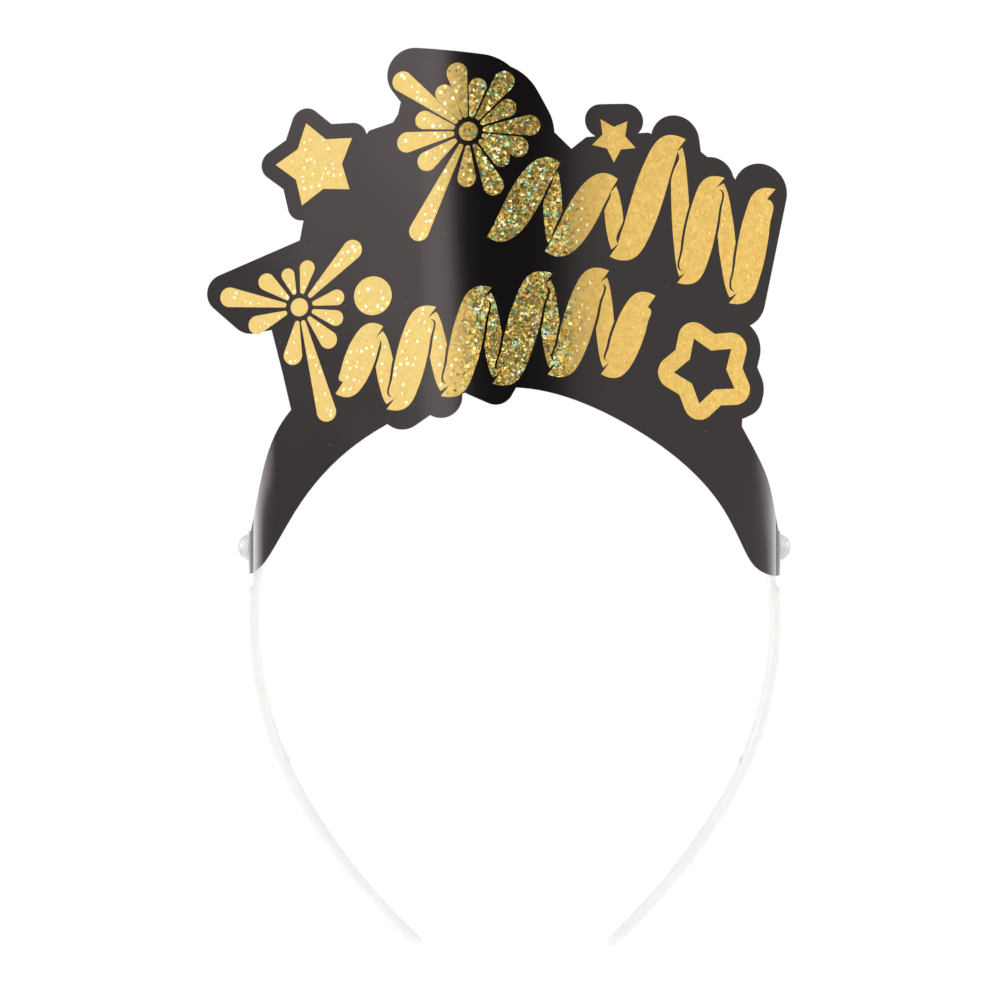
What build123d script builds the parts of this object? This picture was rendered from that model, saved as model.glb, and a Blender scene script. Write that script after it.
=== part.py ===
from build123d import *
from math import acos, asin, atan2, cos, hypot, pi, radians, sin, sqrt, tan
import os

# A party headband: a hoop of flexible plastic carries a die-cut card sign on two push studs.
# The origin is the centre of the hoop's upper half circle, where the middle of the head goes.
# +X is to the right of someone looking at the sign, +Z is up and the sign faces -Y.

# ---- hoop -------------------------------------------------------------------------------
crown_radius = 64.0         # inside radius of the upper half circle, the seat on the head
strip_thick = 2.4
strip_width = 9.0
strip_round = 0.8           # rounding of the strip's long edges
side_radius = 92.0          # outside radius of each arm below the half circle
side_turn = 31.0            # degrees that the arm leans inwards over that stretch
leg_radius = 150.0          # outside radius of the last stretch down to the tip
leg_turn = 17.5             # degrees that the last stretch turns
tip_thick = 2.0
tip_round = 4.0             # corner radius of the strip at its tips
nib_drop = 35.5             # grip nibs, this far below the hoop's centre
nib_radius = 1.1
nib_height = 0.6
nib_length = 5.0

# ---- studs and their seats ----------------------------------------------------------------
pivot_height = 17.75        # the studs' axis above the hoop's centre
seat_cut = 1.45             # how deep the flat seat for the card is cut at the hoop's widest
seat_margin = 3.2           # how far the seat runs on past the card's tab, above and below
boss_wall = 1.4             # boss on the seat, round the stud's neck
shank_radius = 2.0
shank_clearance = 0.08      # radial clearance of the card's hole on the shank
card_gap = 0.15             # between the seat and the back of the card
head_gap = 0.10             # between the face of the card and the stud's head
head_overlap = 1.35         # how far the head reaches out past the neck
head_depth = 3.2
head_rim = 0.5              # straight edge of the head before its dome
rivet_flare = 0.8           # how much the tail of the stud flares in its countersink
rivet_depth = 1.0

# ---- card -----------------------------------------------------------------------------------
board_thick = 0.45          # white board
film_thick = 0.15           # black gloss laminate on its front
foil_thick = 0.10           # hot-stamped foil
bow_radius = 45.0           # the middle of the card is bowed to this radius, at its back face
wing_angle = 30.0           # from there each side runs straight back at this angle
curl_radius = 16.0          # each tab curls round to lie flat on its seat
flat_run = 2.5              # the tab is flat from this far in front of the strip's edge
tab_inset = 0.2             # and ends this far inside the strip's other edge
tab_rise = 4.1              # top of the tab above the stud
tab_drop = 6.6              # foot of the tab below the stud
tab_corner = 3.8            # rounding of the tab behind the stud
border = 3.6                # black border left outside the foil stars

card_thick = board_thick + film_thick
half_width = strip_width / 2
crown_outside = crown_radius + strip_thick
seat_reach = crown_outside - seat_cut        # seats, boss faces
face_reach = seat_reach + card_gap           # back face of the tabs
front_reach = face_reach + card_thick
boss_radius = shank_radius + boss_wall
hole_radius = shank_radius + shank_clearance
head_radius = shank_radius + head_overlap
flat_start = half_width + flat_run
tab_end = half_width - tab_inset
wing_reach = 1.25 * front_reach              # past the outline, which trims the straight sides
tall = 3 * crown_outside                     # longer than the card in every direction

# ---- outline of the sign, in the front view (x, z) -------------------------------------------
# The sign is drawn for a card that reaches this far from the middle, with its studs this high.
# As built it grows with the hoop and follows the studs.
drawn_reach = 65.7
drawn_pivot = 17.75
growth = front_reach / drawn_reach

# lower edge of the band, from the left tab over the forehead to the right tab
brow = [
    (-65.0, 11.3), (-62.3, 12.9), (-58.6, 17.6), (-52.2, 28.0), (-41.1, 40.3), (-25.0, 50.0), (0.0, 55.7),
    (25.1, 48.0), (40.2, 38.2), (50.0, 27.6), (55.0, 18.5),
    (59.1, 12.6), (61.8, 11.3), (64.9, 10.9),
]
left_notch = (-54.1, 51.3)
right_notch = (54.9, 47.3)
left_tab_edge = [left_notch, (-58.9, 43.8), (-61.5, 36.0), (-63.3, 28.0), (-64.8, 21.9)]
right_tab_edge = [(64.8, 21.9), (63.4, 28.0), (61.7, 34.4), (59.5, 39.2), right_notch]
# corners of the black area that joins all the lobes
web = [
    (56.6, 71.9), (58.5, 95.0), (53.0, 107.3), (44.5, 113.0), (31.5, 116.6), (16.6, 114.5),
    (13.1, 111.6), (8.4, 116.0), (-20.0, 126.0), (-27.1, 123.2), (-27.7, 120.6), (-28.9, 118.8),
    (-34.7, 117.3), (-50.9, 97.2), (-51.9, 92.2), (-59.2, 71.4), (-56.2, 60.0),
]
# each lobe is two discs and the straight sides that join them: x, z, radius twice
lobes = [
    (-24.2, 129.9, 6.1, -9.5, 121.0, 12.7),
    (-6.0, 118.7, 12.8, -2.0, 115.0, 11.1),
    (20.2, 118.5, 3.9, 26.4, 119.1, 3.9),
    (38.2, 115.2, 6.0, 39.0, 105.0, 6.6),
    (39.0, 105.0, 6.6, 47.2, 106.2, 5.7),
    (59.6, 104.3, 6.9, 54.0, 78.0, 6.9),
    (54.3, 66.0, 5.1, 50.0, 66.0, 5.1),
    (55.1, 54.7, 5.1, 50.0, 54.0, 5.1),
    (-4.6, 56.0, 4.3, -2.0, 62.0, 5.0),
    (-9.0, 58.4, 4.7, -4.6, 56.0, 4.3),
    (-17.4, 53.7, 5.0, -17.0, 60.0, 5.0),
    (-26.6, 51.6, 5.5, -20.0, 56.0, 5.5),
    (-71.0, 80.2, 4.7, -49.5, 86.2, 6.4),
    (-71.0, 80.2, 4.7, -64.2, 75.8, 5.8),
    (-64.2, 75.8, 5.8, -52.0, 78.0, 6.0),
]

# ---- foil ornaments, in the front view ----------------------------------------------------------
star_big = (-47.6, 110.2, 10.4, 0.60, 15.0)      # x, z, tip radius, inner share, turn in degrees
star_small = (23.2, 114.4, 5.5, 0.52, -36.0)
star_open = (46.0, 60.6, 8.2, 0.60, 23.0)
star_band = 3.9                                   # width of the open star's band
confetti = (-33.8, 78.0, 4.6)                     # x, z, radius
# fireworks: centre, then one row of (angle in degrees, reach) for each ray
upper_burst_centre = (-11.0, 115.6)
upper_burst_rays = [
    (5, 16.8), (30, 12.6), (54, 16.6), (78, 12.6), (101, 16.4), (122, 12.8), (141, 22.5), (163, 13.0),
    (187, 17.0), (214, 14.0), (243, 28.0), (268, 13.0), (295, 16.4), (320, 12.0), (342, 14.6),
]
lower_burst_centre = (-52.0, 76.0)
lower_burst_rays = [
    (12, 11.4), (45, 21.0), (78, 11.4), (110, 10.0), (142, 12.6), (170, 20.5), (200, 13.6),
    (262, 14.0), (285, 28.6), (312, 13.0), (342, 11.4),
]
ray_tip = 2.4               # half the width of the widest ray at its round end
ray_root = 0.6
ray_spread = 0.17           # how fast a ray widens on its way out
hub_radius = 2.2
hub_gap = 1.1
# streamers wind from the first trough to the first crest, on to the second trough, and so on
upper_crests = [(8.4, 107.2), (22.0, 104.0), (38.4, 115.0), (48.6, 106.4), (61.6, 104.6)]
upper_troughs = [(-4.5, 92.0), (9.0, 88.6), (24.5, 87.4), (40.5, 82.0), (53.5, 77.6)]
lower_crests = [(-33.0, 69.6), (-20.4, 74.0), (-7.4, 78.4), (6.6, 81.6), (20.0, 82.6), (31.4, 77.0)]
lower_troughs = [(-41.2, 56.0), (-28.6, 51.8), (-15.6, 54.6), (-3.4, 57.4), (9.6, 59.6), (22.0, 60.0)]
front_width = 7.4
back_width = 4.4
strand_hook = 0.10          # share of its length that a strand runs on past the crest and the trough
strand_end = 0.45           # width of a strand's ends, as a share of its middle
strand_steps = 8
streamer_gap = 0.6
gap_hook = 0.03             # the gap follows a front strand this much past its ends


def plan_curve(offset, curled):
    """Plan of the card, offset outwards from its back face: its edges, then its two ends."""
    lean = radians(wing_angle)
    bow = bow_radius + offset
    curl = curl_radius + offset
    curl_x = face_reach - curl_radius
    join_x = curl_x + curl * sin(lean)
    join_y = -flat_start - curl * cos(lean)
    wing_run = (curl_x + curl_radius * sin(lean) - bow_radius * sin(lean)) / cos(lean)
    bow_x = join_x - wing_run * cos(lean)
    bow_y = join_y - wing_run * sin(lean)
    middle_y = bow_y - bow * (1 - cos(lean))
    edges = [ThreePointArc((-bow_x, bow_y), (0, middle_y), (bow_x, bow_y))]
    ends = []
    for side in (-1, 1):
        if curled:
            half = (lean + pi / 2) / 2
            edges.append(Line((side * bow_x, bow_y), (side * join_x, join_y)))
            middle = (side * (curl_x + curl * sin(half)), -flat_start - curl * cos(half))
            flat = (side * (curl_x + curl), -flat_start)
            edges.append(ThreePointArc((side * join_x, join_y), middle, flat))
            ends.append((flat[0], tab_end))
            edges.append(Line(flat, ends[-1]))
        else:
            ends.append((side * wing_reach, bow_y + (wing_reach - bow_x) * tan(lean)))
            edges.append(Line((side * bow_x, bow_y), ends[-1]))
    return edges, ends


def ply(near, far, curled):
    """The upright sheet between two offsets of the plan, as tall as the card."""
    near_edges, near_ends = plan_curve(near, curled)
    far_edges, far_ends = plan_curve(far, curled)
    closing = [Line(*pair) for pair in zip(near_ends, far_ends)]
    return extrude(make_face(near_edges + far_edges + closing), tall)


def placed(drawn):
    """A drawn shape in the front view (x, z), at the size and height it has on the card."""
    return Pos(0, pivot_height - drawn_pivot) * drawn.scale(growth, about=(0, drawn_pivot))


def prism(flat):
    """A front-view shape (x, z) made into a bar along Y."""
    return extrude(Plane.XZ * flat, tall, both=True)


def disc(x, z, radius):
    return Pos(x, z) * Circle(radius)


def lobe(x1, z1, r1, x2, z2, r2):
    """Two discs and the quadrilateral between their outer tangents."""
    run = hypot(x2 - x1, z2 - z1)
    heading = atan2(z2 - z1, x2 - x1)
    spread = acos((r1 - r2) / run)
    corners = []
    for x, z, r, side in ((x1, z1, r1, 1), (x2, z2, r2, 1), (x2, z2, r2, -1), (x1, z1, r1, -1)):
        corners.append((x + r * cos(heading + side * spread), z + r * sin(heading + side * spread)))
    return disc(x1, z1, r1) + disc(x2, z2, r2) + make_face(Polyline(*corners, close=True))


def star(x, z, tip, inner, turn):
    """A five-pointed star."""
    corners = []
    for k in range(10):
        reach = tip if k % 2 == 0 else tip * inner
        angle = radians(90 + turn + 36 * k)
        corners.append((x + reach * cos(angle), z + reach * sin(angle)))
    return make_face(Polyline(*corners, close=True))


def grown(flat, margin):
    return offset(flat, margin, kind=Kind.ARC)


def sign_outline():
    """Everything inside the card's cut edge, as drawn; its tabs keep their own height."""
    tab_top = drawn_pivot + tab_rise / growth
    tab_foot = drawn_pivot - tab_drop / growth
    beyond = drawn_reach + 2
    edges = [
        Spline(*brow),
        Polyline(brow[-1], (beyond, tab_foot), (beyond, tab_top), right_tab_edge[0]),
        Spline(*right_tab_edge),
        Polyline(right_notch, *web, left_notch),
        Spline(*left_tab_edge),
        Polyline(left_tab_edge[-1], (-beyond, tab_top), (-beyond, tab_foot), brow[0]),
    ]
    outline = make_face(edges)
    for row in lobes:
        outline += lobe(*row)
    outline += grown(star(*star_big), border)
    outline += grown(grown(star(*star_open), star_band), border)
    return outline


def burst(centre, rays):
    """A firework: a round hub with tapered rays that end round."""
    start = hub_radius + hub_gap + ray_root
    shapes = [disc(*centre, hub_radius)]
    for angle, reach in rays:
        tip = min(ray_tip, ray_root + ray_spread * (reach - start))
        across, up = cos(radians(angle)), sin(radians(angle))
        near = (centre[0] + start * across, centre[1] + start * up)
        far = (centre[0] + (reach - tip) * across, centre[1] + (reach - tip) * up)
        shapes.append(lobe(*near, ray_root, *far, tip))
    return shapes


def strand(start, end, width, hook):
    """One crossing of a wound streamer: an S that hooks over at both ends."""
    middle = []
    for k in range(strand_steps + 1):
        share = -hook + (1 + 2 * hook) * k / strand_steps
        rise = 0.5 - 0.5 * cos(pi * share)
        middle.append((start[0] + (end[0] - start[0]) * share, start[1] + (end[1] - start[1]) * rise))
    path = Spline(*middle)
    left, right = [], []
    for k in range(strand_steps + 1):
        share = k / strand_steps
        point, along = path @ share, path % share
        half = width / 2 * (strand_end + (1 - strand_end) * sin(pi * share) ** 0.6)
        left.append((point.X - along.Y * half, point.Y + along.X * half))
        right.append((point.X + along.Y * half, point.Y - along.X * half))
    edges = [Spline(*left), Line(left[-1], right[-1]), Spline(*right), Line(right[0], left[0])]
    return make_face(edges)


def streamer(crests, troughs):
    """Wide strands in front and narrow ones behind, with a dark gap where they cross."""
    rises = list(zip(troughs, crests))
    shapes = [strand(low, high, front_width, strand_hook) for low, high in rises]
    for high, low in zip(crests, troughs[1:]):
        back = strand(high, low, back_width, 0)
        for rise in rises:
            back -= strand(*rise, front_width + 2 * streamer_gap, strand_hook + gap_hook)
        shapes += back.faces()
    return shapes


def hoop_curve(inwards):
    """Right arm of the hoop, from its top to its tip, this far in from its outer face."""
    lean, turn = radians(side_turn), radians(side_turn + leg_turn)
    crown = crown_outside - inwards
    side = side_radius - inwards
    side_x = crown_outside - side_radius
    knee = (side_x + side * cos(lean), -side * sin(lean))
    leg_x = side_x + (side_radius - leg_radius) * cos(lean)
    leg_z = (leg_radius - side_radius) * sin(lean)
    taper = (strip_thick - tip_thick) * inwards / strip_thick
    leg = leg_radius - inwards + taper
    tip = (leg_x + leg * cos(turn), leg_z - leg * sin(turn))
    half = lean / 2
    bend = (side_x + side * cos(half), -side * sin(half))
    return [
        ThreePointArc((0, crown), (crown * sin(pi / 4), crown * cos(pi / 4)), (crown, 0)),
        ThreePointArc((crown, 0), bend, knee),
        TangentArc(knee, tip, tangent=(-sin(lean), -cos(lean))),
    ]


def both_sides(shape):
    return shape + mirror(shape, Plane.YZ)


def along_x(radius, start, end):
    """A cylinder on the studs' axis, on the right, between two distances from the middle."""
    return Pos((start + end) / 2, 0, pivot_height) * Rot(0, 90, 0) * Cylinder(radius, end - start)


def hoop():
    """The bent strip with rounded edges and tips, its grip nibs, and a seat for each stud."""
    outer, inner = hoop_curve(0), hoop_curve(strip_thick)
    arm = make_face(outer + inner + [
        Line(outer[0] @ 0, inner[0] @ 0),
        Line(outer[-1] @ 1, inner[-1] @ 1),
    ])
    strip = both_sides(extrude(Plane.XZ * arm, half_width, both=True))
    tip = outer[-1] @ 1
    corners = [e for e in strip.edges().filter_by(GeomType.LINE) if abs(e.center().Y) > half_width - 0.1]
    corners = [e for e in corners if abs(e.center().Z - tip.Y) < strip_thick]
    strip = fillet(corners, tip_round)
    rims = [e for e in strip.edges() if abs(e.center().Y) > half_width - tip_round and e.geom_type != GeomType.LINE]
    rims += [e for e in strip.edges().filter_by(GeomType.LINE) if abs(abs(e.center().Y) - half_width) < 0.01]
    strip = fillet(rims, strip_round)

    side_x = crown_outside - side_radius
    inside = side_radius - strip_thick
    angle = asin(nib_drop / inside)
    reach = inside + nib_radius - nib_height
    nib = Pos(side_x + reach * cos(angle), 0, -reach * sin(angle)) * Rot(90, 0, 0)
    strip += both_sides(nib * Cylinder(nib_radius, nib_length))

    wall_inside = sqrt(crown_radius ** 2 - (pivot_height - boss_radius) ** 2)
    strip += both_sides(along_x(boss_radius, wall_inside, seat_reach) - Rot(90, 0, 0) * Cylinder(crown_radius, tall))
    cut = Pos(seat_reach + strip_thick / 2, 0, pivot_height)
    strip -= both_sides(cut * Box(strip_thick, 2 * strip_width, 2 * (tab_drop + seat_margin)))
    strip -= both_sides(stud_hole())
    return strip


def turned(profile):
    """A solid of revolution about the right stud's axis, flush with the inside of the hoop."""
    whole = Pos(0, 0, pivot_height) * revolve(make_face(profile), Axis.X)
    return whole - Rot(90, 0, 0) * Cylinder(crown_radius, tall)


def tail_line():
    """Half section of a stud's flared tail, from its axis to its neck."""
    wall = sqrt(crown_radius ** 2 - pivot_height ** 2)
    flare = shank_radius + rivet_flare
    start = sqrt(crown_radius ** 2 - (pivot_height + flare) ** 2) - strip_thick
    return [(start, 0), (start, flare), (wall, flare), (wall + rivet_depth, shank_radius)]


def stud_hole():
    points = tail_line() + [(front_reach, shank_radius), (front_reach, 0)]
    return turned(Polyline(*points, close=True).edges())


def stud():
    """Right push stud: a low domed head, a neck that the card turns on, and a tail set flush inside."""
    face = front_reach + head_gap
    rim = face + head_rim
    end = face + head_depth
    ball = (head_radius ** 2 + (end - rim) ** 2) / (2 * (end - rim))
    half = atan2(head_radius, rim - end + ball) / 2
    shoulder = (end - ball + ball * cos(half), ball * sin(half))
    line = Polyline(*tail_line(), (face, shank_radius), (face, head_radius), (rim, head_radius))
    dome = ThreePointArc((rim, head_radius), shoulder, (end, 0))
    return turned(line.edges() + [dome, Line((end, 0), tail_line()[0])])


def band_side():
    """Area below the line through both notches, as drawn, where the tabs curl."""
    slope = (right_notch[1] - left_notch[1]) / (right_notch[0] - left_notch[0])
    left = (-tall / 2, left_notch[1] + (-tall / 2 - left_notch[0]) * slope)
    right = (tall / 2, left_notch[1] + (tall / 2 - left_notch[0]) * slope)
    return make_face(Polyline(left, right, (tall / 2, -tall / 2), (-tall / 2, -tall / 2), close=True))


def tab_trim():
    """What is cut off the right tab behind its rounded end."""
    depth = flat_start + tab_end
    middle = (tab_end - flat_start) / 2
    height = pivot_height + (tab_rise - tab_drop) / 2
    shape = Pos(middle, height) * Rectangle(depth, tab_rise + tab_drop)
    ends = shape.vertices().sort_by(Axis.X)[-2:]
    rounded = fillet(ends, tab_corner)
    return extrude(Plane.YZ.offset(face_reach - 1) * (shape - rounded), card_thick + 2)


def card_layer(near, far):
    """One layer of the card, cut to the outline, with curled tabs and a hole in each."""
    band = placed(outline & band_side())
    sign = placed(outline - band_side())
    layer = (ply(near, far, True) & prism(band)) + (ply(near, far, False) & prism(sign))
    layer -= both_sides(tab_trim())
    layer -= both_sides(along_x(hole_radius, face_reach - 1, front_reach + 1))
    return layer


def foil(shapes):
    """Foil pieces stamped on the front of the card."""
    sheet = ply(card_thick, card_thick + foil_thick, False)
    solids = []
    for shape in shapes:
        for face in placed(shape).faces():
            solids += (sheet & prism(face)).solids()
    return Compound(children=solids) if len(solids) > 1 else solids[0]


outline = sign_outline()
right_stud = stud()
open_star = star(*star_open)

parts = {
    "headband": hoop(),
    "stud_right": right_stud,
    "stud_left": mirror(right_stud, Plane.YZ),
    "card_board": card_layer(0, board_thick),
    "front_film": card_layer(board_thick, card_thick),
    "foil_star_solid": foil([star(*star_big)]),
    "foil_star_small": foil([star(*star_small)]),
    "foil_star_open": foil([grown(open_star, star_band) - open_star]),
    "foil_confetti": foil([disc(*confetti)]),
    "foil_burst_upper": foil(burst(upper_burst_centre, upper_burst_rays)),
    "foil_burst_lower": foil(burst(lower_burst_centre, lower_burst_rays)),
    "foil_streamer_upper": foil(streamer(upper_crests, upper_troughs)),
    "foil_streamer_lower": foil(streamer(lower_crests, lower_troughs)),
}

os.makedirs("parts", exist_ok=True)
for node, shape in parts.items():
    export_step(shape, f"parts/{node}.step")
    print(node, len(shape.solids()), round(shape.volume, 1))
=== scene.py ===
# %% [markdown]
# # A party headband with a foil-stamped card sign
#
# The object is a plastic hoop that grips the head, with a black, bowed card on two push studs. Its real
# construction comes ready made, as a set of solids in one frame, in metres: X to the right of someone who
# looks at the sign, Z up, and the sign facing -Y. This lesson gives those solids their looks: smooth
# reflections, finishes made of shader maths, and glitter scattered by Geometry Nodes.

# %% Load the frame
from math import atan2, cos, pi, radians, sin

import bmesh
import bpy
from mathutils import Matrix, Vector


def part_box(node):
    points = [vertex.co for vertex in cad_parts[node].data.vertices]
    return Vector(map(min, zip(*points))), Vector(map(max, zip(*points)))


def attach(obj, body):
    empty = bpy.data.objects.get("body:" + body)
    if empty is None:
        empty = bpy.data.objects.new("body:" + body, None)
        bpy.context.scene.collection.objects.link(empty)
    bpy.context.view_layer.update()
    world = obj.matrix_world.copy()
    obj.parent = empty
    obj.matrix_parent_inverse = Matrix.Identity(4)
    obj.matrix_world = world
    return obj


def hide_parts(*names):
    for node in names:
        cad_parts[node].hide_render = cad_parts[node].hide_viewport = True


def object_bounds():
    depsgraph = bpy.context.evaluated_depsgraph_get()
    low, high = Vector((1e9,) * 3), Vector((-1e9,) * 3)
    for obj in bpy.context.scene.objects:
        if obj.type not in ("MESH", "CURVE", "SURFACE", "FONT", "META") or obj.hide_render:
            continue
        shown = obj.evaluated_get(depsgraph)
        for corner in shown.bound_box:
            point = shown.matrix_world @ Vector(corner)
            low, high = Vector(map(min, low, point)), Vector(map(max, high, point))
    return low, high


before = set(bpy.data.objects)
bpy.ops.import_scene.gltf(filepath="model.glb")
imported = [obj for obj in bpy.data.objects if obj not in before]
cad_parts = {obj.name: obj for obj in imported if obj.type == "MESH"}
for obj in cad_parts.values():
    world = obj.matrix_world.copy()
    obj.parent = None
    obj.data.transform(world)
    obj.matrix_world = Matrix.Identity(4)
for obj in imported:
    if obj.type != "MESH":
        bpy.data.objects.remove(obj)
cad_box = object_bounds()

MM = 0.001
print("nodes:", ", ".join(sorted(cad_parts)))

# %% [markdown]
# ## The camera
#
# A product shot of a headband is taken level, from less than a metre away, so that the wings of the card
# foreshorten only a little. A long lens does the same job as distance. The camera stands in front of the
# sign's middle, a little left of the hoop's centre and about half way up the whole object.

# %% Camera
CAMERA_PLACE = Vector((-3.6, -700.0, 29.5)) * MM
SENSOR = 36.0
LENS = 100.8
NEAREST_SEEN = 0.01

camera_data = bpy.data.cameras.new("camera")
camera_data.sensor_width = SENSOR
camera_data.lens = LENS
camera_data.clip_start = NEAREST_SEEN
camera = bpy.data.objects.new("camera", camera_data)
camera.location = CAMERA_PLACE
camera.rotation_euler = (pi / 2, 0, 0)
bpy.context.scene.collection.objects.link(camera)
bpy.context.scene.camera = camera
bpy.context.scene.view_settings.view_transform = "Standard"
print("view angle in degrees:", round(2 * atan2(SENSOR / 2, LENS) * 180 / pi, 1))

# %% [markdown]
# ## Shader maths as Python
#
# A procedural finish is mostly arithmetic on positions and random numbers. Wiring every Math node by hand
# hides that arithmetic, so a small class wraps a socket and overloads the operators: `1 - mask` adds a
# Subtract node. Colours and vectors have methods of their own, because a Math node would turn them grey.
# A second class holds one material and has a single method that adds any other node.

# %% The Term and Finish classes
class Term:
    """One output socket, with operators that add nodes to its material."""

    def __init__(self, finish, socket):
        self.finish = finish
        self.socket = socket

    def math(self, operation, *others):
        return self.finish.math(operation, self, *others)

    def __add__(self, other):
        return self.math("ADD", other)

    def __sub__(self, other):
        return self.math("SUBTRACT", other)

    def __rsub__(self, other):
        return self.finish.math("SUBTRACT", other, self)

    def __mul__(self, other):
        return self.math("MULTIPLY", other)

    def __truediv__(self, other):
        return self.math("DIVIDE", other)

    def __rtruediv__(self, other):
        return self.finish.math("DIVIDE", other, self)

    def __pow__(self, other):
        return self.math("POWER", other)

    def __gt__(self, other):
        return self.math("GREATER_THAN", other)

    def __lt__(self, other):
        return self.math("LESS_THAN", other)

    def __abs__(self):
        return self.math("ABSOLUTE")

    __radd__ = __add__
    __rmul__ = __mul__

    def plus(self, other):
        """Vector sum."""
        return self.finish.node("VectorMath", {0: self, 1: other}, operation="ADD")

    def scaled(self, factor):
        """Vector times a number."""
        return self.finish.node("VectorMath", {0: self, "Scale": factor}, operation="SCALE")

    def times(self, other):
        """Vector times a vector, part by part."""
        return self.finish.node("VectorMath", {0: self, 1: other}, operation="MULTIPLY")

    def unit(self):
        return self.finish.node("VectorMath", {0: self}, operation="NORMALIZE")

    def parts(self):
        """The three numbers of a vector or colour."""
        return [self.finish.node("SeparateXYZ", {0: self}, out=k) for k in range(3)]


class Finish:
    """A material, and the one method that adds a node to it."""

    def __init__(self, name):
        self.material = bpy.data.materials.new(name)
        self.material.use_nodes = True
        self.tree = self.material.node_tree
        self.tree.nodes.clear()
        self.place = self.node("TexCoord", out="Object")

    def node(self, kind, sockets=None, out=0, stops=None, **settings):
        """Add a node: its settings first, then a ramp's stops, then its sockets' values or links."""
        node = self.tree.nodes.new("ShaderNode" + kind)
        for name, value in settings.items():
            setattr(node, name, value)
        if stops:
            ramp = node.color_ramp
            while len(ramp.elements) < len(stops):
                ramp.elements.new(1.0)
            for element, (position, colour) in zip(ramp.elements, stops):
                element.position = position
                element.color = (*colour, 1.0)
        for name, value in (sockets or {}).items():
            if isinstance(value, Term):
                self.tree.links.new(value.socket, node.inputs[name])
            else:
                node.inputs[name].default_value = value
        return Term(self, node.outputs[out]) if node.outputs else None

    def math(self, operation, *values):
        return self.node("Math", dict(enumerate(values)), operation=operation)

    def noise(self, scale, detail=2.0, place=None):
        """Soft noise; scale is in waves per metre."""
        sockets = {"Vector": place or self.place, "Scale": scale, "Detail": detail}
        return self.node("TexNoise", sockets, out="Fac")

    def cells(self, size, out="Color"):
        """Random cells of a given size in metres."""
        return self.node("TexVoronoi", {"Vector": self.place, "Scale": 1 / size}, out=out)

    def ramp(self, value, stops, interpolation="LINEAR"):
        """A colour ramp; its stops are (position, colour)."""
        term = self.node("ValToRGB", {0: value}, stops=stops)
        term.socket.node.color_ramp.interpolation = interpolation
        return term

    def blend(self, factor, first, second):
        """Mix of two colours."""
        first, second = [(*c, 1.0) if isinstance(c, tuple) else c for c in (first, second)]
        return self.node("Mix", {0: factor, 6: first, 7: second}, out=2, data_type="RGBA")

    def smooth(self, value, low, high):
        """Rises softly from 0 at low to 1 at high."""
        sockets = {0: value, 1: low, 2: high, 3: 0.0, 4: 1.0}
        return self.node("MapRange", sockets, interpolation_type="SMOOTHSTEP")

    def bump(self, height):
        """Relief on the surface; height is in millimetres."""
        return self.node("Bump", {"Height": height, "Distance": 1.0 * MM, "Strength": 1.0})

    def surface(self, **sockets):
        """Finish with a Principled shader; base_color becomes Base Color and so on."""
        named = {name.replace("_", " ").title(): value for name, value in sockets.items()}
        if "Ior" in named:
            named["IOR"] = named.pop("Ior")
        for name, value in named.items():
            if isinstance(value, tuple) and len(value) == 3 and "Radius" not in name:
                named[name] = (*value, 1.0)
        shader = self.node("BsdfPrincipled", named)
        self.node("OutputMaterial", {"Surface": shader})
        print("finish", self.material.name, "with", len(self.tree.nodes), "nodes")
        return self.material


# %% [markdown]
# ## The set: floor, tent and light
#
# Glossy black film shows nothing of its own: what the eye sees is the room in it. The set is therefore a
# white room with a curved screen round the lens, whose light changes with the angle. It is black behind
# the lens, which is why the bowed middle of the card looks almost black. A lit panel at its left, which
# leans over as it rises, gives the soft bright band beside the middle. Two bright end panels give the
# curled tabs their sheen, and their lower corners are cut back so that the sheen stops above each tab's
# foot. High up, no panel is brighter than the room. Neither the camera nor matt surfaces see the
# screen. A gradient along it makes all its edges soft.

# %% White room and floor
WORLD_WHITE = 1.0
FLOOR_RADIUS = 4.0
FLOOR_CORNERS = 64
FLOOR_GAP = 0.8 * MM
FLOOR_GLOW = 0.35                         # it gives off a little light, to look as white as the room

world = bpy.data.worlds.new("white_room")
world.use_nodes = True
world.node_tree.nodes["Background"].inputs["Color"].default_value = (1, 1, 1, 1)
world.node_tree.nodes["Background"].inputs["Strength"].default_value = WORLD_WHITE
bpy.context.scene.world = world

floor_finish = Finish("pale_floor")
floor_white = floor_finish.ramp(floor_finish.noise(3.0), [
    (0.3, (0.90, 0.90, 0.90)), (0.7, (0.93, 0.93, 0.93)),
])
floor_finish.surface(
    base_color=floor_white,
    roughness=0.9,
    emission_color=(1.0, 1.0, 1.0),
    emission_strength=FLOOR_GLOW,
)


def staged_mesh(name, corners, faces, material):
    """A piece of the set, which isn't part of the object."""
    mesh = bpy.data.meshes.new(name)
    mesh.from_pydata(corners, [], faces)
    mesh.materials.append(material)
    piece = bpy.data.objects.new(name, mesh)
    bpy.context.scene.collection.objects.link(piece)
    return piece


floor_height = cad_box[0][2] - FLOOR_GAP
ring = [2 * pi * k / FLOOR_CORNERS for k in range(FLOOR_CORNERS)]
floor_rim = [(FLOOR_RADIUS * cos(a), FLOOR_RADIUS * sin(a), floor_height) for a in ring]
staged_mesh("floor", floor_rim, [tuple(range(FLOOR_CORNERS))], floor_finish.material)
print("floor at", round(floor_height / MM, 2), "mm")

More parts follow.
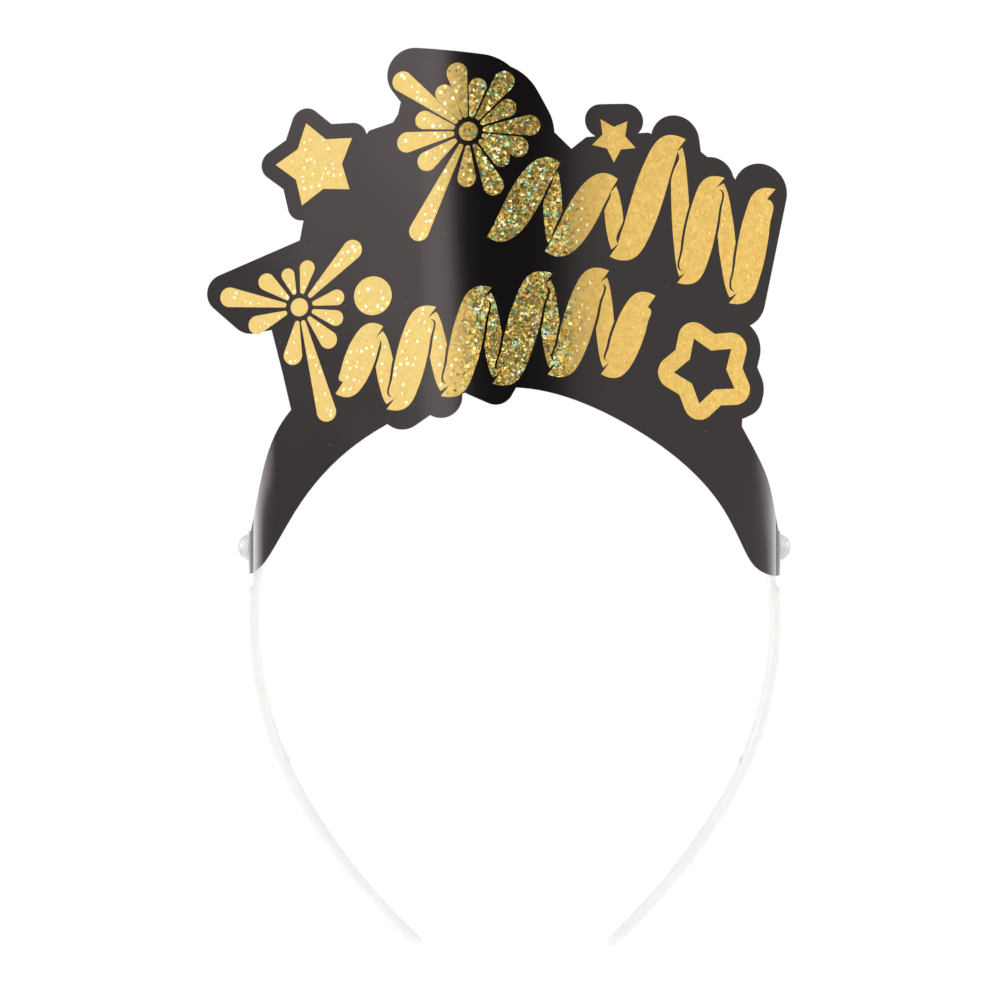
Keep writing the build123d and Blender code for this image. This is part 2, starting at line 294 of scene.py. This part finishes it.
# %% Curved screen round the lens
SCREEN_RADIUS = 1.1
SCREEN_LIFT = 0.01                        # it stands this far clear of the floor
SCREEN_FOOT = floor_height + SCREEN_LIFT
SCREEN_HEAD = 1.5
SCREEN_FROM, SCREEN_TO = -130.0, 130.0    # degrees from straight in front, to the right
SCREEN_STEPS = 130
SCREEN_MIDDLE = 0.175                     # height at which the light stands as listed below
SCREEN_TILT = 45.0                        # how far the light leans as it rises, in degrees per metre
RIGHT_TILT_SHARE = -0.25                  # the right side's light leans by this share of it, the other way
TILT_FADE = -25.0, 10.0                   # between these angles the left side's lean fades out
PANEL_TOP = 0.35, 0.60                    # from here up the panels are no brighter than the white room
END_START = 68.0                          # the bright end panels start at this angle on either side
END_CUT, END_CUT_HEIGHT = 30.0, 0.060     # their lower corners are cut back by this angle, below this height
# how bright the screen is at each of those angles
SCREEN_LIGHT = [
    (-130, 4.8), (-108, 5.6), (-94, 5.0), (-82, 3.1), (-74, 1.2), (-69, 0.85), (-66, 0.98), (-64, 1.5),
    (-62, 1.90), (-60, 1.95), (-57, 2.4), (-52, 2.7), (-46, 2.8), (-40, 2.3), (-36, 1.30), (-32, 0.5),
    (-27, 0.16), (-20, 0.07), (-12, 0.04), (8, 0.04), (20, 0.15), (29, 0.42), (38, 0.84), (48, 1.05),
    (56, 1.09), (66, 1.09), (72, 1.4), (82, 2.6), (94, 3.8), (110, 4.4), (130, 3.8),
]
BRIGHTEST = max(light for _, light in SCREEN_LIGHT)

screen_finish = Finish("screen_light")
across, along, up = screen_finish.place.parts()
angle = screen_finish.math("ARCTAN2", across, 0 - along) * (180 / pi)
left_of_lens = 1 - screen_finish.smooth(angle, *TILT_FADE)
leaning = angle + (up - SCREEN_MIDDLE) * (left_of_lens * SCREEN_TILT + SCREEN_TILT * RIGHT_TILT_SHARE)
to_end = abs(leaning)
cut_back = (1 - screen_finish.smooth(up, 0.0, END_CUT_HEIGHT)) * END_CUT
to_end = (to_end - cut_back).math("MAXIMUM", to_end.math("MINIMUM", END_START))
share = (to_end * leaning.math("SIGN") - SCREEN_FROM) / (SCREEN_TO - SCREEN_FROM)
screen_stops = [
    ((a - SCREEN_FROM) / (SCREEN_TO - SCREEN_FROM), (light / BRIGHTEST,) * 3) for a, light in SCREEN_LIGHT
]
glow, _, _ = screen_finish.ramp(share, screen_stops).parts()
glow_above = glow.math("MINIMUM", WORLD_WHITE / BRIGHTEST)
glow = glow + (glow_above - glow) * screen_finish.smooth(up, *PANEL_TOP)
emission = screen_finish.node("Emission", {"Color": glow, "Strength": BRIGHTEST})
screen_finish.node("OutputMaterial", {"Surface": emission})

screen_points, screen_faces = [], []
for k in range(SCREEN_STEPS + 1):
    turn = radians(SCREEN_FROM + (SCREEN_TO - SCREEN_FROM) * k / SCREEN_STEPS)
    for height in (SCREEN_FOOT, SCREEN_HEAD):
        screen_points.append((SCREEN_RADIUS * sin(turn), -SCREEN_RADIUS * cos(turn), height))
    if k:
        screen_faces.append((2 * k - 2, 2 * k, 2 * k + 1, 2 * k - 1))
screen = staged_mesh("screen", screen_points, screen_faces, screen_finish.material)
screen.visible_camera = False
screen.visible_diffuse = False
print("screen spans", SCREEN_TO - SCREEN_FROM, "degrees")

# %% Soft light from above
LAMP_SIZE = 1.4, 0.9
LAMP_WATTS = 6.0
LAMP_PLACE = Vector((-0.3, -0.5, 1.5))
LAMP_AIM = Vector((0, 0, 0.05))

lamp_data = bpy.data.lights.new("soft_top", "AREA")
lamp_data.shape = "RECTANGLE"
lamp_data.size, lamp_data.size_y = LAMP_SIZE
lamp_data.energy = LAMP_WATTS
lamp = bpy.data.objects.new("soft_top", lamp_data)
lamp.location = LAMP_PLACE
lamp.rotation_euler = (LAMP_AIM - LAMP_PLACE).to_track_quat("-Z", "Y").to_euler()
lamp.visible_camera = False
bpy.context.scene.collection.objects.link(lamp)
print("one soft lamp of", lamp_data.energy, "W")

# %% [markdown]
# ## Smooth reflections on a bowed card
#
# The solids arrive as flat triangles. On matt card that wouldn't show, but on gloss film each facet would
# mirror its own strip of the room. More triangles would help and never quite end it. The card's plan is a
# simple rule, though: a bow in the middle, straight sides, and a curl down to each tab. So the direction
# that the card faces at any point can be worked out exactly, and given to the mesh as custom normals. The
# shape isn't changed at all.

# %% Plan of the card
BOW_RADIUS = 45.0 * MM          # of the board's back face
WING_ANGLE = radians(30.0)
CURL_RADIUS = 16.0 * MM
FLAT_START = -7.0 * MM          # where the curl ends and the tab's flat begins
BOARD, FILM, FOIL = 0.45 * MM, 0.15 * MM, 0.10 * MM
ON_LAYER = 0.004 * MM           # a point this near to a layer's face lies on it
SAME_POINT = 0.0005 * MM        # points closer than this are merged
CUT_EDGE = 0.8                  # a face with a smaller dot product with the card's front is its cut edge
SHARP_ANGLE = radians(35.0)     # moulded pieces are shaded smooth up to this angle

board_low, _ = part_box("card_board")
bow_centre = board_low.y + BOARD + BOW_RADIUS      # the board's front is at its lowest y
TAB_BACK = 65.1 * MM            # inner face of the tabs
curl_centre = TAB_BACK - CURL_RADIUS
print("card stands", round(-board_low.y / MM, 1), "mm in front of the hoop")


def facing(point, levels):
    """Where the card's front faces at a point, on a layer between two distances from its back."""
    side = 1 if point.x > 0 else -1
    x, y = abs(point.x), point.y
    turn = atan2(x, bow_centre - y)
    if turn > WING_ANGLE:
        turn = WING_ANGLE
        ahead = (x - curl_centre) * sin(WING_ANGLE) - (y - FLAT_START) * cos(WING_ANGLE) - CURL_RADIUS
        on_wing = min(abs(ahead - level) for level in levels) < ON_LAYER
        if not on_wing and x > curl_centre:
            turn = pi / 2 if y > FLAT_START else atan2(x - curl_centre, FLAT_START - y)
            turn = max(turn, WING_ANGLE)
    return Vector((side * sin(turn), -cos(turn), 0))


def merged_copy(node, name):
    """The node's mesh with its doubled points merged, as a new object."""
    mesh = bpy.data.meshes.new(name)
    work = bmesh.new()
    work.from_mesh(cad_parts[node].data)
    bmesh.ops.remove_doubles(work, verts=work.verts, dist=SAME_POINT)
    work.to_mesh(mesh)
    work.free()
    piece = bpy.data.objects.new(name, mesh)
    bpy.context.scene.collection.objects.link(piece)
    return piece


def smooth_layer(node, name, levels, material):
    """One layer of the card, with exact normals on both its faces."""
    piece = merged_copy(node, name)
    mesh = piece.data
    for face in mesh.polygons:
        face.use_smooth = True
    normals = []
    for face in mesh.polygons:
        for corner in face.vertices:
            ahead = facing(mesh.vertices[corner].co, levels)
            along = face.normal.dot(ahead)
            if abs(along) > CUT_EDGE:
                normals.append(ahead if along > 0 else -ahead)
            else:
                normals.append(face.normal)
    mesh.normals_split_custom_set([tuple(n) for n in normals])
    mesh.materials.clear()
    mesh.materials.append(material)
    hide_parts(node)
    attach(piece, "sign")
    return piece


def smooth_solid(node, name, material, body):
    """A moulded solid, shaded smooth up to its sharp edges."""
    piece = merged_copy(node, name)
    piece.data.shade_smooth()
    piece.data.set_sharp_from_angle(angle=SHARP_ANGLE)
    piece.data.materials.clear()
    piece.data.materials.append(material)
    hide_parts(node)
    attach(piece, body)
    return piece


# %% [markdown]
# ## Black film
#
# The board's front is laminated with black film. It is glossy, but it isn't a mirror: the roller leaves a
# fine orange peel, the board's fibres make it roll gently, handling leaves hairline rubs and a little dust
# settles on it. Each of these is one term of the bump height or the roughness, at its own real scale. To
# the right of the middle a faint upright crease shows where the card was once folded flat for its packet.

# %% Black film finish
CREASE_X, CREASE_Z = 35.0 * MM, 50.0 * MM     # a point that the crease's line passes through
CREASE_LEAN = -0.10                           # how far it moves to the side as it rises
CREASE_WIDTH = 1.1 * MM
CREASE_TOP = 52.0 * MM, 68.0 * MM             # it fades out between these heights

film = Finish("black_gloss_film")
x, _, z = film.place.parts()
roll = film.noise(26.0, 1.0)
peel = film.noise(1900.0, 1.0)
crease_line = x - (CREASE_X + (z - CREASE_Z) * CREASE_LEAN)
crease_low = 1 - film.smooth(z, *CREASE_TOP)
crease = (1 - film.smooth(abs(crease_line), 0.0, CREASE_WIDTH)) * crease_low
stretched = film.place.times((1.0, 1.0, 0.06))
hairlines = film.smooth(film.noise(2600.0, 0.0, place=stretched), 0.70, 0.76)
rubs = hairlines * film.smooth(film.noise(60.0), 0.5, 0.62)
dust_cell = film.cells(2.6 * MM, out="Distance")
dust = film.smooth(dust_cell, 0.045, 0.03) * (film.noise(240.0) > 0.55)
height = roll * 0.42 + peel * 0.00075 + crease * 0.012 + dust * 0.02
film.surface(
    base_color=film.blend(dust, (0.0045, 0.0038, 0.0042), (0.22, 0.21, 0.20)),
    roughness=0.07 + rubs * 0.10 + film.noise(90.0) * 0.04 + dust * 0.4,
    ior=1.487,
    specular_tint=(1.0, 0.855, 0.85),
    normal=film.bump(height),
)

# %% [markdown]
# ## White board
#
# Behind the film is uncoated white board. Seen close, it is a felt of short fibres that lie mostly one
# way, with a few darker ones. Stretched noise gives the lie of the fibres, and cells give the odd fleck.

# %% White board finish
board = Finish("white_fibre_board")
drawn = board.place.times((1.0, 1.0, 0.25))
fibre = board.noise(1500.0, 3.0, place=drawn)
cloud = board.noise(70.0, 2.0)
fleck = board.smooth(board.noise(1600.0, 0.0, place=drawn), 0.80, 0.84)
paper = board.ramp(fibre * 0.6 + cloud * 0.4, [
    (0.30, (0.54, 0.53, 0.505)), (0.50, (0.62, 0.61, 0.59)), (0.70, (0.68, 0.672, 0.655)),
])
board.surface(
    base_color=board.blend(fleck * 0.7, paper, (0.44, 0.41, 0.36)),
    roughness=0.82 + fibre * 0.12,
    ior=1.45,
    normal=board.bump(fibre * 0.03 + cloud * 0.05),
)

# %% [markdown]
# ## Gold glitter foil
#
# The foil is hot-stamped: a metal film whose surface is pressed into thousands of tiny facets. Each facet
# leans its own way, so it mirrors a different part of the room, and on the real foil its fine grooves split
# the light, so some flash green, orange or white. Cells are the natural pattern: one random colour for each
# cell gives both the lean, added to the surface's own normal, and the tint. The facets lean far only on the
# bow. There the green, orange and white flashes are painted glints in the base colour, and the darker olive
# gold between them is painted shade, where the bow faces the dark middle of the screen. On the wings the
# facets lean little and stay gold, and the paler gold on the left wing is a painted sheen, where that wing
# faces the lit panel. How far the surface faces to the side tells bow and wings apart, so these painted
# glints, shade and sheen follow which way the card faces.

# %% Gold foil finish
LEFT_TURN = -0.32, -0.12        # how far a face turns to the side where the left wing meets the bow
RIGHT_TURN = 0.20, 0.34         # and where the bow meets the right wing
# the left wing's paler gold is a painted sheen, where that wing faces the lit panel
LEFT_WING_TURN = -0.40, -0.20   # the left wing's paler gold fades out between these
COARSE_CELL, FINE_CELL = 0.78 * MM, 0.42 * MM

foil = Finish("gold_glitter_foil")
own_normal = foil.node("NewGeometry", out="Normal")
to_side, _, _ = own_normal.parts()
on_bow = foil.smooth(to_side, *LEFT_TURN) * (1 - foil.smooth(to_side, *RIGHT_TURN))
on_left_wing = 1 - foil.smooth(to_side, *LEFT_WING_TURN)
coarse = foil.cells(COARSE_CELL)
fine = foil.cells(FINE_CELL)
lean_x, lean_y, pick = coarse.parts()
fine_x, fine_y, fine_pick = fine.parts()
# spark marks the cells on the bow that get painted glint colours, a lower roughness and a larger lean
spark = foil.smooth(pick, 0.50, 0.60) * on_bow
big_lean = coarse.plus((-0.5, -0.5, -0.5)).scaled(0.05 + spark * 0.62)
small_lean = fine.plus((-0.5, -0.5, -0.5)).scaled(0.06 + on_bow * 0.34)
tilted = own_normal.plus(big_lean).plus(small_lean).unit()
mottle = foil.noise(420.0, 2.0)
gold = foil.ramp(fine_pick * 0.35 + lean_x * 0.25 + mottle * 0.4, [
    (0.15, (0.595, 0.370, 0.087)), (0.5, (0.660, 0.435, 0.118)), (0.85, (0.715, 0.505, 0.168)),
])
# pale: painted sheen, a paler gold where the left wing faces the lit panel
pale = foil.blend(on_left_wing * 0.5, gold, (0.46, 0.375, 0.16))
# olive: painted shade, a darker olive gold where the bow faces the dark middle of the screen
olive = foil.ramp(fine_y, [
    (0.0, (0.34, 0.22, 0.040)), (0.4, (0.54, 0.37, 0.075)),
    (0.75, (0.68, 0.50, 0.13)), (1.0, (0.80, 0.54, 0.12)),
])
# flash: painted glints, green, orange and pale yellow, shown only on the bow's spark cells
flash = foil.ramp(lean_y, [
    (0.0, (1.0, 0.50, 0.10)), (0.18, (1.0, 0.84, 0.26)), (0.36, (0.55, 0.86, 0.30)),
    (0.50, (1.0, 0.92, 0.48)), (0.66, (0.42, 0.84, 0.46)), (0.80, (1.0, 0.62, 0.16)),
    (0.93, (0.60, 0.86, 0.74)),
], "CONSTANT")
foil.surface(
    base_color=foil.blend(spark * 0.85, foil.blend(on_bow, pale, olive), flash),
    metallic=1.0,
    roughness=0.36 - spark * 0.12 + fine_x * 0.08,
    normal=tilted,
)

# %% [markdown]
# ## Hoop and studs
#
# The hoop is injection-moulded from milky plastic: light soaks in and comes out again, so it nearly
# vanishes against white. The two halves of its mould meet in the middle of the strip's width and leave a
# fine raised line there. The studs are clear plastic with a frosted skin, so they look pale and cloudy.

# %% Hoop finish
PARTING_LINE = 0.03 * MM, 0.12 * MM     # its raised line falls away between these distances from the middle

hoop = Finish("milky_plastic")
_, y, _ = hoop.place.parts()
parting = 1 - hoop.smooth(abs(y), *PARTING_LINE)
milk = hoop.noise(45.0, 2.0)
satin = hoop.noise(2200.0, 1.0)
hoop.surface(
    base_color=hoop.ramp(milk, [(0.3, (0.840, 0.832, 0.818)), (0.7, (0.870, 0.863, 0.852))]),
    roughness=0.38 + satin * 0.10,
    ior=1.49,
    transmission_weight=0.22,
    subsurface_weight=0.35,
    subsurface_radius=(1.6 * MM, 1.5 * MM, 1.4 * MM),
    subsurface_scale=1.0,
    normal=hoop.bump(parting * 0.05 + satin * 0.0012 + milk * 0.03),
)

# %% Stud finish
stud = Finish("clear_plastic")
frost = stud.noise(1400.0, 2.0)
swirl = stud.noise(260.0, 2.0)
stud.surface(
    base_color=stud.ramp(swirl, [(0.3, (0.74, 0.74, 0.735)), (0.7, (0.84, 0.84, 0.83))]),
    roughness=0.22 + frost * 0.20,
    ior=1.46,
    transmission_weight=0.55,
    subsurface_weight=0.5,
    subsurface_radius=(0.9 * MM, 0.9 * MM, 0.9 * MM),
    subsurface_scale=1.0,
    normal=stud.bump(frost * 0.003 + swirl * 0.03),
)

# %% [markdown]
# ## Put the finishes on the pieces
#
# Card, film and foil get their exact normals. The hoop and studs are moulded shapes with sharp edges only
# where flat faces meet, so they are smoothed by angle.

# %% Pieces
smooth_layer("card_board", "board", (0.0, BOARD), board.material)
smooth_layer("front_film", "film", (BOARD, BOARD + FILM), film.material)
foil_levels = (BOARD + FILM, BOARD + FILM + FOIL)
foil_pieces = []
for node in sorted(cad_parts):
    if node.startswith("foil_"):
        name = node.replace("foil_", "gold_")
        foil_pieces.append(smooth_layer(node, name, foil_levels, foil.material))
smooth_solid("headband", "hoop", hoop.material, "hoop")
smooth_solid("stud_left", "push_stud_left", stud.material, "hoop")
smooth_solid("stud_right", "push_stud_right", stud.material, "hoop")
print(len(foil_pieces), "pieces of foil")

# %% [markdown]
# ## Glitter flakes
#
# Besides the pressed facets, the foil carries larger flakes that catch the light one by one. Each is the
# same small six-sided plate, up to a millimetre across, set on the foil at random and leaning a little.
# That is a rule and not a shape, so Geometry Nodes make them: scatter points on the front faces, put a
# plate on each, lean it, and keep a random number with it for its tint. Which way the surface faces sets
# how far up the tint ramp that number may run: on the bow it reaches green, orange and white, which are
# painted glints; on the left wing only cream, a painted sheen; on the right wing the flakes stay gold.
# There are fewer on the wings, where they lie flatter, and none so close to a cut edge that it would stand
# over it. The result becomes a plain mesh.

# %% Geometry Nodes helper
class Tree:
    """A Geometry Nodes group with named inputs."""

    def __init__(self, name):
        self.group = bpy.data.node_groups.new(name, "GeometryNodeTree")
        self.group.interface.new_socket("Geometry", in_out="INPUT", socket_type="NodeSocketGeometry")
        self.group.interface.new_socket("Geometry", in_out="OUTPUT", socket_type="NodeSocketGeometry")
        self.start = self.group.nodes.new("NodeGroupInput")
        self.end = self.group.nodes.new("NodeGroupOutput")

    def input(self, name, kind):
        self.group.interface.new_socket(name, in_out="INPUT", socket_type="NodeSocket" + kind)
        return self.start.outputs[name]

    def node(self, kind, sockets=None, out=0, **settings):
        node = self.group.nodes.new(kind)
        for name, value in settings.items():
            setattr(node, name, value)
        for name, value in (sockets or {}).items():
            if isinstance(value, bpy.types.NodeSocket):
                self.group.links.new(value, node.inputs[name])
            else:
                node.inputs[name].default_value = value
        return node.outputs[out]

    def finish(self, geometry):
        self.group.links.new(geometry, self.end.inputs["Geometry"])

    def apply(self, piece, **values):
        """Put the group on a piece with these inputs and return what it makes as a plain mesh."""
        modifier = piece.modifiers.new("tree", "NODES")
        modifier.node_group = self.group
        for item in self.group.interface.items_tree:
            if item.in_out == "INPUT" and item.name in values:
                modifier[item.identifier] = values[item.name]
        bpy.context.view_layer.update()
        shown = piece.evaluated_get(bpy.context.evaluated_depsgraph_get())
        mesh = bpy.data.meshes.new_from_object(shown)
        piece.modifiers.remove(modifier)
        return mesh


# %% Flake tree
FLAKE_RIGHT_TURN = 0.40, 0.26       # where the flakes change from the right wing's to the bow's
PLATE_SIDES = 6
SMALLEST_FLAKE = 0.65               # as a share of the largest
# On the left wing the flakes' tints reach only cream, a painted sheen.
LEFT_WING_SHEEN_REACH = 0.2                # the flakes' tints run this far up the ramp on the left wing
TINT_SEED = 7

flakes = Tree("glitter_flakes")
density = flakes.input("flakes_per_square_metre", "Float")
spacing = flakes.input("closest_spacing", "Float")
radius = flakes.input("flake_radius", "Float")
thickness = flakes.input("flake_thickness", "Float")
wing_share = flakes.input("wing_share", "Float")
wing_lean = flakes.input("wing_lean", "Float")
bow_lean = flakes.input("bow_lean", "Float")
lift = flakes.input("lift", "Float")
seed = flakes.input("seed", "Int")
coat = flakes.input("coat", "Material")


def bow_share(to_side):
    """1 on the bow and 0 on the wings, from how far the surface turns to the side."""
    ends = []
    for wing, bow in (LEFT_TURN, FLAKE_RIGHT_TURN):
        ends.append(flakes.node("ShaderNodeMapRange", {0: to_side, 1: wing, 2: bow}))
    return flakes.node("ShaderNodeMath", {0: ends[0], 1: ends[1]}, operation="MULTIPLY")


ahead = flakes.node("ShaderNodeVectorMath", {
    0: flakes.node("GeometryNodeInputNormal"), 1: (0.0, -1.0, 0.0),
}, out="Value", operation="DOT_PRODUCT")
front = flakes.node("FunctionNodeCompare", {0: ahead, 1: CUT_EDGE}, operation="GREATER_THAN")
to_side = flakes.node("ShaderNodeSeparateXYZ", {0: flakes.node("GeometryNodeInputNormal")}, out="X")
share = flakes.node("ShaderNodeMapRange", {0: bow_share(to_side), 3: wing_share, 4: 1.0})
scatter = {
    "Mesh": flakes.start.outputs["Geometry"], "Selection": front, "Distance Min": spacing,
    "Density Max": density, "Density Factor": share, "Seed": seed,
}
points = flakes.node("GeometryNodeDistributePointsOnFaces", scatter, distribute_method="POISSON")
scattered = points.node
raise_by = flakes.node("ShaderNodeVectorMath", {
    0: scattered.outputs["Normal"], "Scale": lift,
}, operation="SCALE")
points = flakes.node("GeometryNodeSetPosition", {"Geometry": points, "Offset": raise_by})
sides = flakes.node("GeometryNodeSeparateGeometry", {
    "Geometry": flakes.start.outputs["Geometry"], "Selection": front,
}, out="Inverted", domain="FACE")
sides = flakes.node("GeometryNodeSeparateGeometry", {
    "Geometry": sides,
    "Selection": flakes.node("FunctionNodeCompare", {0: ahead, 1: -CUT_EDGE}, operation="GREATER_THAN"),
}, domain="FACE")
to_edge = flakes.node("GeometryNodeProximity", {0: sides}, out="Distance", target_element="FACES")
inside = flakes.node("FunctionNodeCompare", {0: to_edge, 1: radius}, operation="GREATER_THAN")
plate = flakes.node("GeometryNodeMeshCylinder", {
    "Vertices": PLATE_SIDES, "Radius": radius, "Depth": thickness,
})
way = flakes.node("ShaderNodeSeparateXYZ", {0: scattered.outputs["Normal"]}, out="X")
point_on_bow = bow_share(way)
most_lean = flakes.node("ShaderNodeMapRange", {0: point_on_bow, 3: wing_lean, 4: bow_lean})
back_lean = flakes.node("ShaderNodeMath", {0: most_lean, 1: -1.0}, operation="MULTIPLY")
low = flakes.node("ShaderNodeCombineXYZ", {0: back_lean, 1: back_lean, 2: -pi})
high = flakes.node("ShaderNodeCombineXYZ", {0: most_lean, 1: most_lean, 2: pi})
lean = flakes.node("FunctionNodeRandomValue", {0: low, 1: high, "Seed": seed}, data_type="FLOAT_VECTOR")
turned = flakes.node("FunctionNodeRotateRotation", {
    "Rotation": scattered.outputs["Rotation"],
    "Rotate By": flakes.node("FunctionNodeEulerToRotation", {0: lean}),
}, rotation_space="LOCAL")
size = flakes.node("FunctionNodeRandomValue", {
    2: SMALLEST_FLAKE, 3: 1.0, "Seed": seed,
}, out=1, data_type="FLOAT")
plates = flakes.node("GeometryNodeInstanceOnPoints", {
    "Points": points, "Selection": inside, "Instance": plate, "Rotation": turned, "Scale": size,
})
# How far a flake's random tint may run up the ramp: to the painted glints on the bow, to the painted cream
# sheen on the left wing, and not at all on the right wing, whose flakes stay gold.
left_wing_sheen_reach = flakes.node("ShaderNodeMapRange", {
    0: way, 1: LEFT_TURN[1], 2: LEFT_TURN[0], 3: 0.0, 4: LEFT_WING_SHEEN_REACH,
})
glint_and_sheen_reach = flakes.node("ShaderNodeMath", {0: point_on_bow, 1: left_wing_sheen_reach}, operation="MAXIMUM")
tint = flakes.node("FunctionNodeRandomValue", {
    2: 0.0, 3: glint_and_sheen_reach, "Seed": TINT_SEED,
}, out=1, data_type="FLOAT")
plates = flakes.node("GeometryNodeStoreNamedAttribute", {
    "Geometry": plates, "Name": "tint", "Value": tint,
}, data_type="FLOAT", domain="INSTANCE")
plates = flakes.node("GeometryNodeRealizeInstances", {"Geometry": plates})
plates = flakes.node("GeometryNodeSetMaterial", {"Geometry": plates, "Material": coat})
flakes.finish(plates)

# %% Flake finish
flake = Finish("flake_mirror")
tint = flake.node("Attribute", out="Fac", attribute_name="tint")
scratch = flake.noise(3000.0, 1.0)
# Past the first gold stop the ramp holds painted sheen (cream) and painted glints (yellow, green, orange,
# pale blue-green).
flake_colour = flake.ramp(tint, [
    (0.0, (0.70, 0.47, 0.14)), (0.03, (0.84, 0.72, 0.44)), (0.22, (1.0, 0.86, 0.36)),
    (0.44, (1.0, 0.93, 0.56)), (0.62, (0.52, 0.90, 0.42)), (0.74, (0.50, 0.90, 0.62)),
    (0.83, (1.0, 0.54, 0.13)), (0.95, (0.68, 0.86, 0.84)),
], "CONSTANT")
flake.surface(
    base_color=flake_colour,
    metallic=1.0,
    roughness=0.20 + scratch * 0.10,
    normal=flake.bump(scratch * 0.002),
)

# %% Scatter the flakes
ground_mesh = bpy.data.meshes.new("flake_ground")
gather = bmesh.new()
for piece in foil_pieces:
    gather.from_mesh(piece.data)
gather.to_mesh(ground_mesh)
gather.free()
ground = bpy.data.objects.new("flake_ground", ground_mesh)
bpy.context.scene.collection.objects.link(ground)
flake_mesh = flakes.apply(
    ground,
    flakes_per_square_metre=600000.0,
    closest_spacing=1.0 * MM,
    flake_radius=0.50 * MM,
    flake_thickness=0.02 * MM,
    wing_share=0.55,
    wing_lean=radians(6.0),
    bow_lean=radians(15.0),
    lift=0.01 * MM,
    seed=11,
    coat=flake.material,
)
bpy.data.objects.remove(ground)
glitter = bpy.data.objects.new("glitter_flakes", flake_mesh)
bpy.context.scene.collection.objects.link(glitter)
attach(glitter, "sign")
print("glitter:", len(flake_mesh.vertices) // (2 * PLATE_SIDES), "flakes")
